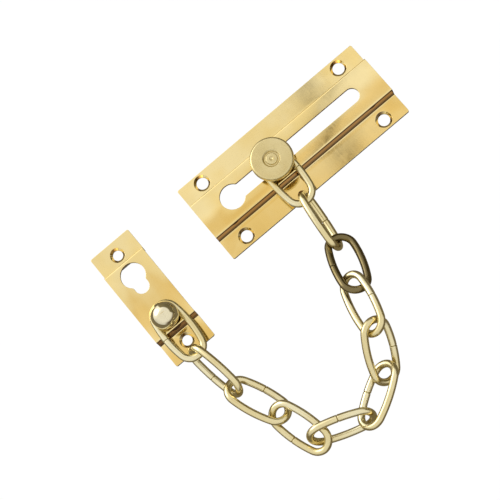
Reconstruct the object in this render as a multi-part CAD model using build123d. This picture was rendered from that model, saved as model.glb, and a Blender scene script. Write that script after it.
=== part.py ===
from build123d import *
import math
import os

# Door chain guard: a slide plate with a keyhole slot, a sliding stud with a round knob, a chain of
# eleven oval wire links, and a small fixed plate whose dome-headed rivet holds the last link.
# The set lies on its back, as it would on a bench. Millimetres throughout.
# Frame: the origin is the centre of the slide plate's screw pattern, on its back face.
# +X runs along the slot to its closed end, +Y across the plate, +Z out of the door.

# Sheet metal
SHEET = 1.3                # thickness of both pressed plates
RAISED = 6.5               # height of a plate's raised face above its back
TOP_BEND = 0.8             # radius of the raised face's edge
TOP_BEND_INSIDE = 0.3
FOOT_BEND = 0.5            # radius of the corner where a side wall meets the flange
FOOT_BEND_BACK = 1.4
CORNER = 0.7               # plan radius of the plates' corners

# Slide plate
PLATE_LENGTH = 90.6
PLATE_WIDTH = 36.4
CHANNEL_WIDTH = 17.2       # across the raised face
CHANNEL_SPREAD = 0.4       # how far each side wall leans outwards, from top to foot
PLATE_HOLES_X = 71.0
PLATE_HOLES_Y = 28.4
PLATE_HOLE = 2.45          # radius
PLATE_SINK = 3.4           # countersink radius at the face
ENTRY_X = -29.8            # centre of the keyhole's round entry
ENTRY = 5.25
SLOT_END_X = 31.6          # centre of the slot's closed round end
SLOT_WIDTH = 6.5
SLOT_Y = 0.25              # the keyhole sits a little above the plate's middle line
SLOT_THROAT = 1.0          # radius that eases the slot into its round entry

# Sliding stud
STUD_X = -8.6
NECK = 2.8
REAR_HEAD = 4.9
REAR_HEAD_THICK = 1.7
REAR_HEAD_TOP = 4.9
DISC = 8.8
DISC_BACK = 10.3
DISC_THICK = 3.0
DISC_FRONT_EDGE = 1.1
DISC_BACK_EDGE = 0.5
TENON = 2.2
RECESS = 3.1
RECESS_DEPTH = 1.2
RECESS_LIP = 0.5
PEEN = 2.4                 # radius of the peened end in the recess
PEEN_HEIGHT = 0.9
PEEN_EDGE = 0.45
DIMPLE = 1.0               # radius of the punch mark's ball

# Fixed plate
FIXED_X = -79.8
FIXED_Y = -8.5
FIXED_WIDTH = 19.5
FIXED_LENGTH = 56.2
FIXED_RAISED = 34.0        # length of the raised face along Y
FIXED_SPREAD = 0.8         # how far its end walls lean outwards
FIXED_HOLES_Y = 45.0
FIXED_HOLE = 2.1
FIXED_SINK = 3.1
PARK_Y = 1.9               # centre of the keyhole that takes the knob's rear head when not in use
PARK = 5.2
NOTCH_Y = -3.7
NOTCH = 3.15
NOTCH_THROAT = 0.8

# Dome-headed rivet
DOME_Y = -20.3
DOME = 5.65
DOME_BACK = 10.4
DOME_CENTRE_Z = 12.0
DOME_BACK_EDGE = 1.2
DOME_NECK = 2.8
DOME_TENON = 2.0
TAIL = 3.4
TAIL_THICK = 1.2

# Chain links: an oval of round wire, two tight end arcs joined by two shallow side arcs
WIRE = 3.0
LINK_LENGTH = 28.5
LINK_WIDTH = 14.8
END_ARC = 5.2
SEAM = 0.12                # gap of the butt seam where the wire's ends meet
SEAM_EDGE = 0.2            # chamfer on the wire's two ends


def rounded_at(shape, points, radius):
    """Round the corners of a flat shape that lie at the given points."""
    corners = [
        vertex for vertex in shape.vertices()
        if any(math.hypot(vertex.X - x, vertex.Y - y) < 1e-4 for x, y in points)
    ]
    return fillet(corners, radius)


def hat_section(half_width, half_raised, spread):
    """Cross-section of a pressed plate: two flanges joined by a flat-topped channel."""
    foot = half_raised + spread
    inner_top = RAISED - SHEET
    right_side = [
        (half_raised, RAISED),
        (foot, SHEET),
        (half_width, SHEET),
        (half_width, 0),
        (foot - SHEET, 0),
        (half_raised - SHEET, inner_top),
    ]
    left_side = [(-x, z) for x, z in reversed(right_side)]
    section = make_face(Polyline(*right_side, *left_side, close=True))
    for across, height, radius in (
        (half_raised, RAISED, TOP_BEND),
        (half_raised - SHEET, inner_top, TOP_BEND_INSIDE),
        (foot, SHEET, FOOT_BEND),
        (foot - SHEET, 0, FOOT_BEND_BACK),
    ):
        section = rounded_at(section, [(across, height), (-across, height)], radius)
    return section


def hat_plate(length_x, width_y, raised_y, spread):
    """A pressed plate about the origin: the channel runs along X, open at both ends."""
    section = Plane.YZ * hat_section(width_y / 2, raised_y / 2, spread)
    plate = extrude(section, amount=length_x / 2, both=True)
    corners = [
        edge for edge in plate.edges().filter_by(Axis.Z)
        if abs(edge.length - SHEET) < 1e-3 and abs(edge.center().Y) > width_y / 2 - 0.1
    ]
    return fillet(corners, CORNER)


def screw_hole(x, y, hole, sink):
    """Cutter for a countersunk hole through a flange."""
    depth = sink - hole
    drill = Cylinder(hole, 4 * SHEET)
    cone = Pos(0, 0, SHEET - depth / 2) * Cone(hole, sink, depth)
    relief = Pos(0, 0, SHEET + 0.5) * Cylinder(sink, 1)
    return Pos(x, y, 0) * (drill + cone + relief)


def keyhole(entry, entry_radius, end, end_radius, throat):
    """Cutter through a raised face: a round entry that runs into a round-ended slot."""
    start = Vector(*entry)
    finish = Vector(*end)
    run = finish - start
    heading = math.degrees(math.atan2(run.Y, run.X))
    middle = start + run / 2
    slot = Pos(middle.X, middle.Y) * Rot(0, 0, heading) * SlotCenterToCenter(run.length, 2 * end_radius)
    shape = Pos(start.X, start.Y) * Circle(entry_radius) + slot
    reach = math.sqrt(entry_radius ** 2 - end_radius ** 2)
    along = run.normalized()
    sideways = Vector(-along.Y, along.X)
    throats = [start + along * reach + sideways * end_radius * side for side in (-1, 1)]
    shape = rounded_at(shape, [(point.X, point.Y) for point in throats], throat)
    return Pos(0, 0, RAISED - 2 * SHEET) * extrude(shape, amount=4 * SHEET)


def turned(radius, bottom, top):
    """A plain turned step about Z."""
    return Pos(0, 0, (bottom + top) / 2) * Cylinder(radius, top - bottom)


def rim(solid, height, radius):
    """The round edges of a turned solid at a height and radius."""
    return [
        edge for edge in solid.edges().filter_by(GeomType.CIRCLE)
        if abs(edge.center().Z - height) < 1e-4 and abs(edge.radius - radius) < 1e-4
    ]


def make_slide_plate():
    plate = hat_plate(PLATE_LENGTH, PLATE_WIDTH, CHANNEL_WIDTH, CHANNEL_SPREAD)
    for x in (-PLATE_HOLES_X / 2, PLATE_HOLES_X / 2):
        for y in (-PLATE_HOLES_Y / 2, PLATE_HOLES_Y / 2):
            plate -= screw_hole(x, y, PLATE_HOLE, PLATE_SINK)
    plate -= keyhole((ENTRY_X, SLOT_Y), ENTRY, (SLOT_END_X, SLOT_Y), SLOT_WIDTH / 2, SLOT_THROAT)
    return plate


def make_fixed_plate():
    plate = hat_plate(FIXED_WIDTH, FIXED_LENGTH, FIXED_RAISED, FIXED_SPREAD)
    for y in (-FIXED_HOLES_Y / 2, FIXED_HOLES_Y / 2):
        plate -= screw_hole(0, y, FIXED_HOLE, FIXED_SINK)
    plate = Pos(FIXED_X, FIXED_Y, 0) * plate
    plate -= keyhole((FIXED_X, PARK_Y), PARK, (FIXED_X, NOTCH_Y), NOTCH, NOTCH_THROAT)
    plate -= Pos(FIXED_X, DOME_Y, 0) * turned(DOME_TENON, RAISED - 2 * SHEET, RAISED + SHEET)
    return plate


def make_stud_spindle():
    """Rear head, neck and tenon in one turned piece, its end peened over in the knob's recess."""
    recess_floor = DISC_BACK + DISC_THICK - RECESS_DEPTH
    peen_top = recess_floor + PEEN_HEIGHT
    spindle = turned(REAR_HEAD, REAR_HEAD_TOP - REAR_HEAD_THICK, REAR_HEAD_TOP)
    spindle += turned(NECK, REAR_HEAD_TOP, DISC_BACK)
    spindle += turned(TENON, DISC_BACK, recess_floor)
    spindle += turned(PEEN, recess_floor, peen_top)
    spindle = fillet(rim(spindle, peen_top, PEEN), PEEN_EDGE)
    spindle -= Pos(0, 0, peen_top + DIMPLE / 2) * Sphere(DIMPLE)
    return Pos(STUD_X, 0, 0) * spindle


def make_knob_disc():
    face = DISC_BACK + DISC_THICK
    disc = turned(DISC, DISC_BACK, face)
    disc = fillet(rim(disc, face, DISC), DISC_FRONT_EDGE)
    disc = fillet(rim(disc, DISC_BACK, DISC), DISC_BACK_EDGE)
    disc -= turned(RECESS, face - RECESS_DEPTH, face + 1)
    disc -= turned(TENON, DISC_BACK - 1, face)
    disc = chamfer(rim(disc, face, RECESS), RECESS_LIP)
    return Pos(STUD_X, 0, 0) * disc


def make_dome_rivet():
    inner_top = RAISED - SHEET
    ball = Pos(0, 0, DOME_CENTRE_Z) * Sphere(DOME)
    ball -= Pos(0, 0, DOME_BACK - DOME) * Box(3 * DOME, 3 * DOME, 2 * DOME)
    flat = math.sqrt(DOME ** 2 - (DOME_CENTRE_Z - DOME_BACK) ** 2)
    ball = fillet(rim(ball, DOME_BACK, flat), DOME_BACK_EDGE)
    rivet = ball + turned(DOME_NECK, RAISED, DOME_BACK)
    rivet += turned(DOME_TENON, inner_top, RAISED)
    rivet += turned(TAIL, inner_top - TAIL_THICK, inner_top)
    return Pos(FIXED_X, DOME_Y, 0) * rivet


def make_link():
    """One oval link about the origin, its long axis along X, with the seam in its +Y leg."""
    half_length = (LINK_LENGTH - WIRE) / 2
    half_width = (LINK_WIDTH - WIRE) / 2
    end_x = half_length - END_ARC
    side_arc = (end_x ** 2 + half_width ** 2 - END_ARC ** 2) / (2 * (half_width - END_ARC))
    side_y = side_arc - half_width
    turn = math.degrees(math.atan2(side_y, end_x))
    half_seam = math.degrees(SEAM / 2 / side_arc)
    path = Wire([
        CenterArc((0, -side_y), side_arc, 90 + half_seam, 90 - turn - half_seam),
        CenterArc((-end_x, 0), END_ARC, 180 - turn, 2 * turn),
        CenterArc((0, side_y), side_arc, 180 + turn, 180 - 2 * turn),
        CenterArc((end_x, 0), END_ARC, -turn, 2 * turn),
        CenterArc((0, -side_y), side_arc, turn, 90 - turn - half_seam),
    ])
    wire = sweep(Plane(path @ 0, z_dir=path % 0) * Circle(WIRE / 2), path=path)
    ends = [
        edge for edge in wire.edges().filter_by(GeomType.CIRCLE)
        if abs(edge.radius - WIRE / 2) < 1e-4 and abs(edge.center().X) < SEAM
    ]
    return chamfer(ends, SEAM_EDGE)


# How each link lies, from the knob to the fixed plate: x and y of its middle, the clearance under it,
# its heading in plan, its pitch (down towards its far end), its roll (right-hand side up) in degrees,
# and the side its seam is on, +1 left or -1 right when looking along the heading.
LAY = [
    (-8.6, -8.3, 6.2, -90, 2, 0, 1),
    (-9.7, -30.5, 0.0, -97, 1, 75, 1),
    (-12.5, -51.2, 3.6, -107, -19, 17, -1),
    (-18.6, -68.0, 8.1, -102, -10, -35, 1),
    (-24.9, -85.6, 1.1, -118, 29, 33, 1),
    (-36.5, -97.5, 1.9, -148, -2, -36, -1),
    (-54.8, -97.7, 0.0, 160, 1, 63, -1),
    (-67.4, -87.4, 0.6, 105, 1, 28, 1),
    (-73.3, -68.5, 0.0, 112, -5, -28, -1),
    (-78.6, -49.2, 0.1, 99, 1, 64, 1),
    (-79.8, -27.6, 6.3, 90, -2, 0, 1),
]


def lay_link(link, x, y, clearance, heading, pitch, roll, seam_side):
    """Place a link as it lies, its lowest point at the given height."""
    turned_over = link if seam_side > 0 else Rot(0, 0, 180) * link
    tilted = Rot(0, 0, heading) * Rot(0, pitch, 0) * Rot(-roll, 0, 0) * turned_over
    return Pos(x, y, clearance - tilted.bounding_box().min.Z) * tilted


link = make_link()
parts = {
    "slide_plate": make_slide_plate(),
    "stud_spindle": make_stud_spindle(),
    "knob_disc": make_knob_disc(),
    "fixed_plate": make_fixed_plate(),
    "dome_rivet": make_dome_rivet(),
}
for number, lay in enumerate(LAY, start=1):
    parts[f"link_{number:02d}"] = lay_link(link, *lay)

os.makedirs("parts", exist_ok=True)
for name, solid in parts.items():
    export_step(solid, f"parts/{name}.step")
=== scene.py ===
"""Looks of the door chain guard: polished brass plates, a satin knob, a bright dome and a wire chain."""

import math

import bpy
from mathutils import Matrix, Vector


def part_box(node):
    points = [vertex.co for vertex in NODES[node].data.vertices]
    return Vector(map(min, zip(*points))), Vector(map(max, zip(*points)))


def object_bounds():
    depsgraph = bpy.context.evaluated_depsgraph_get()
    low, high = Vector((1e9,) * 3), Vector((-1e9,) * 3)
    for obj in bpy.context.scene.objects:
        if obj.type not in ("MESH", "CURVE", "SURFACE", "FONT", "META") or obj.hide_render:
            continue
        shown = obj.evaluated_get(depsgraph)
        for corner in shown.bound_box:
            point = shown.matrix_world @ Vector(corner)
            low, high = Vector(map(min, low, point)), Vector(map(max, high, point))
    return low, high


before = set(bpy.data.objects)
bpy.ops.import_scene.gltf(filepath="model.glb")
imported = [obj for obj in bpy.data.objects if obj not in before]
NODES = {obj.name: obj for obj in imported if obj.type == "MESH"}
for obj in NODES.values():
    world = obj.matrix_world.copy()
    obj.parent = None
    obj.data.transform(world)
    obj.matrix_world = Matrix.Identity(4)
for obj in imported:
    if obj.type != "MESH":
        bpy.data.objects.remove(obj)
cad_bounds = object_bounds()
MM = 0.001

# Camera: the point it looks at, from how far and at what tilt, and how far it is turned on its own axis
TARGET = Vector((-38.1, -19.3, 0.0)) * MM
DISTANCE = 789.4 * MM
TILT = math.radians(15.0)
ROLL = math.radians(40.2)
SENSOR = 36.0                # width in millimetres
LENS = 144.0                 # focal length in millimetres

# White table. It lies so far under the set that the chain can swing at every joint's limit.
FLOOR_HALF = 4.0             # from its middle to each side, in metres
FLOOR_DROP = 220.0 * MM
FLOOR_GLOW = 0.985
FLOOR_MATT = (0.03, 0.03, 0.03, 1.0)
FLOOR_MIRRORED = (0.21, 0.18, 0.12, 1.0)

# Key light, in metres and watts
KEY_PLACE = (-0.54, 0.70, 0.47)
KEY_SIZE = (0.75, 0.70)
KEY_POWER = 2.6

# Surroundings that the metal mirrors: directions on the ground plan, and colours
BRIGHT_SIDE = (-0.31, 0.95, 0.0)
DARK_FRONT = (0.82, -0.57, 0.0)
DARK_CORNER = (0.87, 0.50, 0.0)
WHITE = (1.0, 0.99, 0.97, 1.0)
WARM_PATCH = (0.88, 0.76, 0.53, 1.0)
BAND_BROWN = (0.16, 0.11, 0.06, 1.0)
CORNER_BROWN = (0.20, 0.17, 0.10, 1.0)

# How the surroundings fade. In each pair, the first value is where a fade starts and the second is
# where it ends, or what it starts from and ends at. A height is the Z of a line of sight, a facing is
# how nearly it points in one of the directions above, and a slope is its X or Y over its height,
# which then counts as at least LOWEST.
RISING = (0.0, 1.0)
FALLING = (1.0, 0.0)
LOWEST = 0.2
CEILING_HEIGHT = (-0.10, 0.60)
CEILING_LIGHT = (0.75, 1.0)
SIDE_FACING = (0.33, 0.85)
SIDE_LIGHT = (1.0, 1.5)
CLOUDS = 13.0
CLOUD_CONTRAST = (0.35, 0.65)
CLOUD_LIGHT = (0.90, 1.02)
BAND_HEIGHT = (0.05, 0.38)
BAND_FACING = (-0.1, 0.4)
CORNER_HEIGHT = (0.48, 0.64)
CORNER_FACING = (0.48, 0.62)
WARM_HEIGHT = (0.90, 0.94)
WARM_START = (0.16, 0.24)
WARM_END = (0.262, 0.312)

# A dark beam crosses the ceiling where the X slope equals BEAM_SLOPE plus BEAM_TILT times the Y slope
BEAM_SLOPE = 0.033
BEAM_TILT = 0.14
BEAM_HALF_WIDTH = (0.0015, 0.007)
BEAM_THINS = (0.27, 0.30)
BEAM_DARKNESS = (0.95, 0.60)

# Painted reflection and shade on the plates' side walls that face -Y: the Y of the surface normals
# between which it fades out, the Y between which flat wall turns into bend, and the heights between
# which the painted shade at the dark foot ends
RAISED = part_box("slide_plate")[1][2]
PAINTED_SHADE_Y = (-0.78, -0.40)
FLAT_WALL_Y = (-0.996, -0.97)
FOOT_HEIGHT = (0.45 * RAISED, 0.60 * RAISED)

# Patterns in the metal: how many to the metre, how strongly they show, and the hairlines' direction
PATCHES = 45.0
PATCH_CONTRAST = (0.35, 0.65)
SMEARS = 160.0
SMEAR_CONTRAST = (0.3, 0.7)
SMEAR_ROUGHNESS = (0.75, 1.3)
HAIRLINES = 900.0
HAIRLINE_CONTRAST = (0.45, 0.8)
HAIRLINE_ROUGHNESS = 0.4
EVERY_WAY = (1.0, 1.0, 1.0)
ALONG_Y = (1.0, 0.04, 1.0)

# Radius that sharp edges look eased to
EASED_EDGE = 0.18 * MM

# Vertices closer than the first are welded, and faces that meet at less than the second look round
WELD_DISTANCE = 0.002 * MM
SMOOTH_BELOW = math.radians(28.0)

# Base colours, linear RGB
PLATE_GOLD = (0.90, 0.69, 0.28, 1.0)
PLATE_PALE = (0.94, 0.77, 0.39, 1.0)
# The next three colours are painted reflection and shade on the plates' side walls
WALL_BROWN = (0.34, 0.19, 0.10, 1.0)
BEND_BROWN = (0.10, 0.045, 0.02, 1.0)
FOOT_BROWN = (0.085, 0.035, 0.015, 1.0)
KNOB_GOLD = (0.69, 0.57, 0.28, 1.0)
KNOB_PALE = (0.76, 0.65, 0.36, 1.0)
WIRE_GOLD = (0.77, 0.66, 0.36, 1.0)
WIRE_PALE = (0.86, 0.79, 0.53, 1.0)
# A darker copy of the wire colours for link_03: painted reflection of the dark surroundings that link
# mirrors
SHADED_WIRE_GOLD = (0.18, 0.14, 0.06, 1.0)
SHADED_WIRE_PALE = (0.25, 0.20, 0.10, 1.0)
DOME_SILVER = (0.75, 0.67, 0.43, 1.0)
DOME_PALE = (0.86, 0.79, 0.58, 1.0)


class Graph:
    """A material's or world's nodes, made one line at a time."""

    def __init__(self, owner):
        owner.use_nodes = True
        self.tree = owner.node_tree
        self.tree.nodes.clear()

    def feed(self, socket, value):
        if isinstance(value, bpy.types.NodeSocket):
            self.tree.links.new(value, socket)
        else:
            socket.default_value = value

    def node(self, kind, inputs, **settings):
        made = self.tree.nodes.new(kind)
        for name, value in settings.items():
            setattr(made, name, value)
        for key, value in inputs.items():
            self.feed(made.inputs[key], value)
        return made

    def math(self, operation, first, second=0.0):
        return self.node("ShaderNodeMath", {0: first, 1: second}, operation=operation).outputs[0]

    def product(self, first, *others):
        for other in others:
            first = self.math("MULTIPLY", first, other)
        return first

    def dot(self, vector, direction):
        inputs = {0: vector, 1: direction}
        return self.node("ShaderNodeVectorMath", inputs, operation="DOT_PRODUCT").outputs["Value"]

    def split(self, vector):
        return self.node("ShaderNodeSeparateXYZ", {"Vector": vector}).outputs

    def fade(self, value, span, result=RISING):
        """Smooth change from the first result to the second as the value crosses the span."""
        inputs = {
            "Value": value,
            "From Min": span[0],
            "From Max": span[1],
            "To Min": result[0],
            "To Max": result[1],
        }
        return self.node("ShaderNodeMapRange", inputs, interpolation_type="SMOOTHSTEP").outputs["Result"]

    def mix(self, factor, first, second):
        """Mix of two colours, whose sockets on this node are inputs 6 and 7 and output 2."""
        made = self.node("ShaderNodeMix", {}, data_type="RGBA")
        for index, value in {0: factor, 6: first, 7: second}.items():
            self.feed(made.inputs[index], value)
        return made.outputs[2]

    def noise(self, vector, scale, detail=2.0, roughness=0.5):
        inputs = {"Vector": vector, "Scale": scale, "Detail": detail, "Roughness": roughness}
        return self.node("ShaderNodeTexNoise", inputs).outputs["Fac"]

    def stretched(self, vector, scale):
        return self.node("ShaderNodeMapping", {"Vector": vector, "Scale": scale}).outputs["Vector"]

    def bump(self, height, distance, normal):
        inputs = {"Height": height, "Distance": distance, "Normal": normal}
        return self.node("ShaderNodeBump", inputs).outputs["Normal"]


def paint_wall_shade(graph, clean, place, normal, amount):
    """Painted reflection and shade on the side walls that face -Y: dark bends, a lighter flat wall and a
    nearly black foot.
    """
    facing = graph.split(normal)["Y"]
    painted_shade = graph.fade(facing, PAINTED_SHADE_Y, (amount, 0.0))
    flat = graph.fade(facing, FLAT_WALL_Y, FALLING)
    foot = graph.fade(graph.split(place)["Z"], FOOT_HEIGHT, FALLING)
    brown = graph.mix(foot, graph.mix(flat, BEND_BROWN, WALL_BROWN), FOOT_BROWN)
    return graph.mix(painted_shade, clean, brown)


def brass(name, dark, pale, roughness, wave, wave_height, grain_height, grain=EVERY_WAY, wall_shade=0.0):
    """Polished or satin metal: uneven tone, faint hairlines, a slightly wavy surface and eased edges."""
    material = bpy.data.materials.new(name)
    graph = Graph(material)
    texture = graph.node("ShaderNodeTexCoord", {}).outputs
    place = texture["Object"]

    patches = graph.fade(graph.noise(place, PATCHES, detail=3.0), PATCH_CONTRAST)
    clean = graph.mix(patches, dark, pale)
    # Painted reflection and shade on the walls that face -Y, at the strength that the last argument
    # gives
    colour = paint_wall_shade(graph, clean, place, texture["Normal"], wall_shade)

    smears = graph.noise(place, SMEARS, detail=4.0, roughness=0.6)
    hairlines = graph.noise(graph.stretched(place, grain), HAIRLINES, detail=3.0, roughness=0.7)
    smeared = graph.fade(smears, SMEAR_CONTRAST, [share * roughness for share in SMEAR_ROUGHNESS])
    scratched = graph.fade(hairlines, HAIRLINE_CONTRAST, (0.0, HAIRLINE_ROUGHNESS * roughness))

    eased = graph.node("ShaderNodeBevel", {"Radius": EASED_EDGE}, samples=6).outputs["Normal"]
    wavy = graph.bump(graph.noise(place, wave, detail=1.0), wave_height, eased)

    surface = graph.node("ShaderNodeBsdfPrincipled", {
        "Base Color": colour,
        "Metallic": 1.0,
        "Roughness": graph.math("ADD", smeared, scratched),
        "Normal": graph.bump(hairlines, grain_height, wavy),
    })
    graph.node("ShaderNodeOutputMaterial", {"Surface": surface.outputs[0]})
    return material


def smooth_by_angle():
    """Modifier group that shades round surfaces smooth and keeps the sharp edges."""
    group = bpy.data.node_groups.new("smooth_by_angle", "GeometryNodeTree")
    group.interface.new_socket("Geometry", in_out="INPUT", socket_type="NodeSocketGeometry")
    group.interface.new_socket("Geometry", in_out="OUTPUT", socket_type="NodeSocketGeometry")
    nodes, links = group.nodes, group.links
    start = nodes.new("NodeGroupInput")
    angle = nodes.new("GeometryNodeInputMeshEdgeAngle")
    gentle = nodes.new("FunctionNodeCompare")
    gentle.operation = "LESS_THAN"
    gentle.inputs["B"].default_value = SMOOTH_BELOW
    edges = nodes.new("GeometryNodeSetShadeSmooth")
    edges.domain = "EDGE"
    faces = nodes.new("GeometryNodeSetShadeSmooth")
    faces.domain = "FACE"
    end = nodes.new("NodeGroupOutput")
    links.new(angle.outputs["Unsigned Angle"], gentle.inputs["A"])
    links.new(start.outputs[0], edges.inputs["Geometry"])
    links.new(gentle.outputs["Result"], edges.inputs["Shade Smooth"])
    links.new(edges.outputs["Geometry"], faces.inputs["Geometry"])
    links.new(faces.outputs["Geometry"], end.inputs[0])
    return group


def dress(node, material, group):
    """Give a CAD node its metal, and shade it smooth."""
    piece = NODES[node]
    piece.data.materials.clear()
    piece.data.materials.append(material)
    weld = piece.modifiers.new("weld", "WELD")
    weld.merge_threshold = WELD_DISTANCE
    piece.modifiers.new("smooth", "NODES").node_group = group


def floor_material():
    """White table that glows evenly for the camera, and is a dull brown grey as the metal mirrors it."""
    material = bpy.data.materials.new("floor")
    graph = Graph(material)
    path = graph.node("ShaderNodeLightPath", {})
    glow = graph.node("ShaderNodeEmission", {"Color": (1.0, 1.0, 1.0, 1.0), "Strength": FLOOR_GLOW})
    matt = graph.node("ShaderNodeBsdfDiffuse", {"Color": FLOOR_MATT})
    seen = graph.node("ShaderNodeAddShader", {0: glow.outputs[0], 1: matt.outputs[0]})
    mirrored = graph.node("ShaderNodeBsdfDiffuse", {"Color": FLOOR_MIRRORED})
    surface = graph.node("ShaderNodeMixShader", {
        0: path.outputs["Is Camera Ray"],
        1: mirrored.outputs[0],
        2: seen.outputs[0],
    })
    graph.node("ShaderNodeOutputMaterial", {"Surface": surface.outputs[0]})
    return material


def make_floor(half, material):
    corners = [(-half, -half, 0), (half, -half, 0), (half, half, 0), (-half, half, 0)]
    mesh = bpy.data.meshes.new("floor")
    mesh.from_pydata(corners, [], [(0, 1, 2, 3)])
    mesh.materials.append(material)
    floor = bpy.data.objects.new("floor", mesh)
    floor.location = (TARGET.x, TARGET.y, cad_bounds[0][2] - FLOOR_DROP)
    bpy.context.scene.collection.objects.link(floor)


def past_beam(graph, slope_x, slope_y):
    """Share of the light that the dark beam across the ceiling leaves."""
    level = graph.math("SUBTRACT", slope_x, graph.math("MULTIPLY", slope_y, BEAM_TILT))
    off_beam = graph.math("ABSOLUTE", graph.math("SUBTRACT", level, BEAM_SLOPE))
    darkness = graph.fade(slope_y, BEAM_THINS, BEAM_DARKNESS)
    covered = graph.product(graph.fade(off_beam, BEAM_HALF_WIDTH, FALLING), darkness)
    return graph.math("SUBTRACT", 1.0, covered)


def sky_strength(graph, heading, height, slope_x, slope_y):
    """Brightness of the surroundings: stronger high up and on one side, with clouds and the beam."""
    ceiling = graph.fade(height, CEILING_HEIGHT, CEILING_LIGHT)
    side = graph.fade(graph.dot(heading, BRIGHT_SIDE), SIDE_FACING, SIDE_LIGHT)
    clouds = graph.fade(graph.noise(heading, CLOUDS), CLOUD_CONTRAST, CLOUD_LIGHT)
    return graph.product(ceiling, side, past_beam(graph, slope_x, slope_y), clouds)


def sky_colour(graph, heading, height, slope_y):
    """White, with a warm patch near the zenith, a brown band low in front and a brown rear corner."""
    warm = graph.product(
        graph.fade(slope_y, WARM_START),
        graph.fade(slope_y, WARM_END, FALLING),
        graph.fade(height, WARM_HEIGHT),
    )
    band = graph.product(
        graph.fade(height, BAND_HEIGHT, FALLING),
        graph.fade(graph.dot(heading, DARK_FRONT), BAND_FACING),
    )
    corner = graph.product(
        graph.fade(height, CORNER_HEIGHT, FALLING),
        graph.fade(graph.dot(heading, DARK_CORNER), CORNER_FACING),
    )
    sky = graph.mix(warm, WHITE, WARM_PATCH)
    banded = graph.mix(band, sky, BAND_BROWN)
    return graph.mix(corner, banded, CORNER_BROWN)


def make_world():
    """Studio surroundings, which light the set and are mirrored in it."""
    world = bpy.data.worlds.new("studio")
    bpy.context.scene.world = world
    graph = Graph(world)
    heading = graph.node("ShaderNodeTexCoord", {}).outputs["Generated"]
    along = graph.split(heading)
    height = along["Z"]
    divisor = graph.math("MAXIMUM", height, LOWEST)
    slope_x = graph.math("DIVIDE", along["X"], divisor)
    slope_y = graph.math("DIVIDE", along["Y"], divisor)
    light = graph.node("ShaderNodeBackground", {
        "Color": sky_colour(graph, heading, height, slope_y),
        "Strength": sky_strength(graph, heading, height, slope_x, slope_y),
    })
    graph.node("ShaderNodeOutputWorld", {"Surface": light.outputs[0]})


def softbox(name, place, size, power):
    """Oval soft light that faces the middle of the set."""
    data = bpy.data.lights.new(name, "AREA")
    data.shape = "ELLIPSE"
    data.size = size[0]
    data.size_y = size[1]
    data.energy = power
    light = bpy.data.objects.new(name, data)
    light.location = place
    light.rotation_euler = (TARGET - Vector(place)).to_track_quat("-Z", "Y").to_euler()
    bpy.context.scene.collection.objects.link(light)


def make_camera():
    """Camera tilted towards -Y from straight above, and turned by ROLL."""
    right = Vector((math.cos(ROLL), -math.sin(ROLL) * math.cos(TILT), -math.sin(ROLL) * math.sin(TILT)))
    back = Vector((0.0, -math.sin(TILT), math.cos(TILT)))
    up = back.cross(right)
    data = bpy.data.cameras.new("camera")
    data.sensor_width = SENSOR
    data.lens = LENS
    camera = bpy.data.objects.new("camera", data)
    axes = Matrix((right, up, back)).transposed().to_4x4()
    camera.matrix_world = Matrix.Translation(TARGET + back * DISTANCE) @ axes
    bpy.context.scene.collection.objects.link(camera)
    bpy.context.scene.camera = camera


# The plates get the painted reflection and shade on their side walls at full strength
plate = brass(
    "pressed_brass", PLATE_GOLD, PLATE_PALE, roughness=0.06,
    wave=22.0, wave_height=0.06 * MM, grain_height=0.0004 * MM, grain=ALONG_Y, wall_shade=1.0,
)
knob = brass(
    "turned_brass", KNOB_GOLD, KNOB_PALE, roughness=0.28,
    wave=60.0, wave_height=0.01 * MM, grain_height=0.0002 * MM,
)
wire = brass(
    "wire", WIRE_GOLD, WIRE_PALE, roughness=0.20,
    wave=120.0, wave_height=0.03 * MM, grain_height=0.0002 * MM,
)
# Painted reflection: link_03's wire, darkened all over
shaded_wire = brass(
    "painted_dark_wire", SHADED_WIRE_GOLD, SHADED_WIRE_PALE, roughness=0.20,
    wave=120.0, wave_height=0.03 * MM, grain_height=0.0002 * MM,
)
dome = brass(
    "polished_dome", DOME_SILVER, DOME_PALE, roughness=0.07,
    wave=90.0, wave_height=0.02 * MM, grain_height=0.0003 * MM,
)

# Every link that isn't named here is bright wire; link_03 gets a darker copy of it, a painted reflection
LOOKS = {
    "slide_plate": plate,
    "fixed_plate": plate,
    "knob_disc": knob,
    "stud_spindle": knob,
    "dome_rivet": dome,
    "link_03": shaded_wire,
}
smoothing = smooth_by_angle()
for name in NODES:
    dress(name, LOOKS.get(name, wire), smoothing)

make_floor(FLOOR_HALF, floor_material())
make_world()
softbox("key_light", KEY_PLACE, KEY_SIZE, KEY_POWER)
make_camera()
bpy.context.scene.view_settings.view_transform = "Standard"
